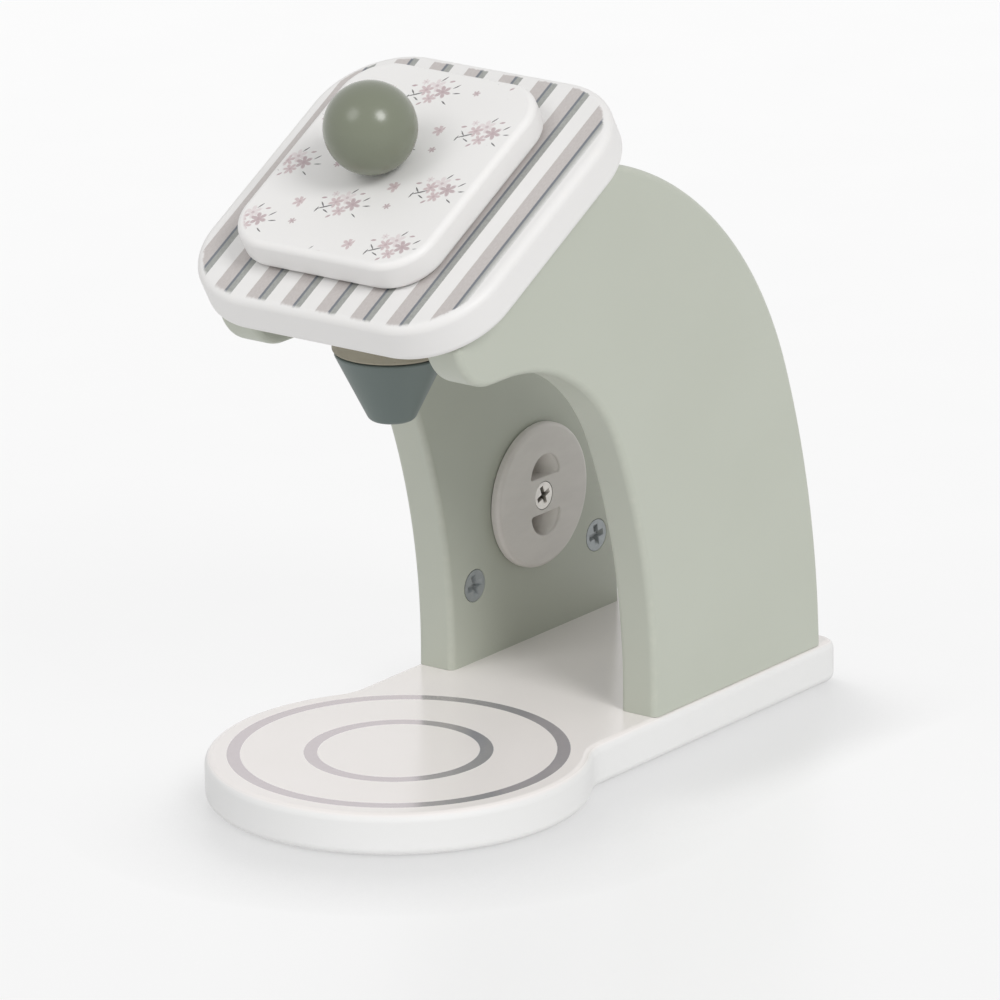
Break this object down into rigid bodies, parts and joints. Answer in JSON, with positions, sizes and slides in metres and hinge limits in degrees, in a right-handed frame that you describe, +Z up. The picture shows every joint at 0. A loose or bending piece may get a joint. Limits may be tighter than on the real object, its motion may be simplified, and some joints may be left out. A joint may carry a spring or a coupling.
{
  "type": "toy coffee maker",
  "caption": "Wooden play coffee maker with a round cup stand, a nozzle, a lift-off capsule lid with a ball knob, and a side dial that turns.",
  "frame": {"origin": "middle of the round cup stand, on the surface that the toy stands on, under the nozzle", "axes": "+Z is up, -Y is the front with the cup stand, and the dial's knob is on the -X side"},
  "size_m": [0.1126, 0.1995, 0.1996],
  "materials": {
    "white_paint": "white satin paint",
    "sage_paint": "sage green satin paint",
    "moss_paint": "darker moss green satin paint",
    "slate_paint": "dark slate satin paint",
    "plain_wood": "bare sanded wood",
    "grey_plastic": "warm grey satin plastic",
    "zinc_steel": "blue zinc plated steel",
    "bright_steel": "bright steel"
  },
  "bodies": {
    "body": {"base_board": "white_paint", "left_side_panel": "sage_paint", "right_side_panel": "sage_paint", "top_plate": "white_paint", "bridge_board": "white_paint", "nozzle_collar": "plain_wood", "nozzle_cone": "slate_paint", "nozzle_screw": "zinc_steel", "dial_back_plate": "white_paint", "back_plate_screw_front": "zinc_steel", "back_plate_screw_rear": "zinc_steel", "base_screw_left_front": "zinc_steel", "base_screw_left_rear": "zinc_steel", "base_screw_right_front": "zinc_steel", "base_screw_right_rear": "zinc_steel", "plate_dowel_left_front": "plain_wood", "plate_dowel_left_rear": "plain_wood", "plate_dowel_right_front": "plain_wood", "plate_dowel_right_rear": "plain_wood", "bridge_dowel_left_front": "plain_wood", "bridge_dowel_left_rear": "plain_wood", "bridge_dowel_right_front": "plain_wood", "bridge_dowel_right_rear": "plain_wood"},
    "lid": {"lid_tile": "white_paint", "lid_plug": "plain_wood", "ball_knob": "moss_paint", "lid_knob_screw": "zinc_steel"},
    "dial": {"dial_hub": "grey_plastic", "dial_knob": "slate_paint", "dial_screw": "bright_steel"}
  },
  "joints": [
    {"name": "lid_lift", "type": "slide", "parent": "body", "child": "lid", "axis": [0, -0.4848, 0.8746], "range_m": [0, 0.03]},
    {"name": "dial_turn", "type": "hinge", "parent": "body", "child": "dial", "pos_m": [-0.035, 0.10015, 0.0535], "axis": [1, 0, 0], "continuous": true}
  ]
}
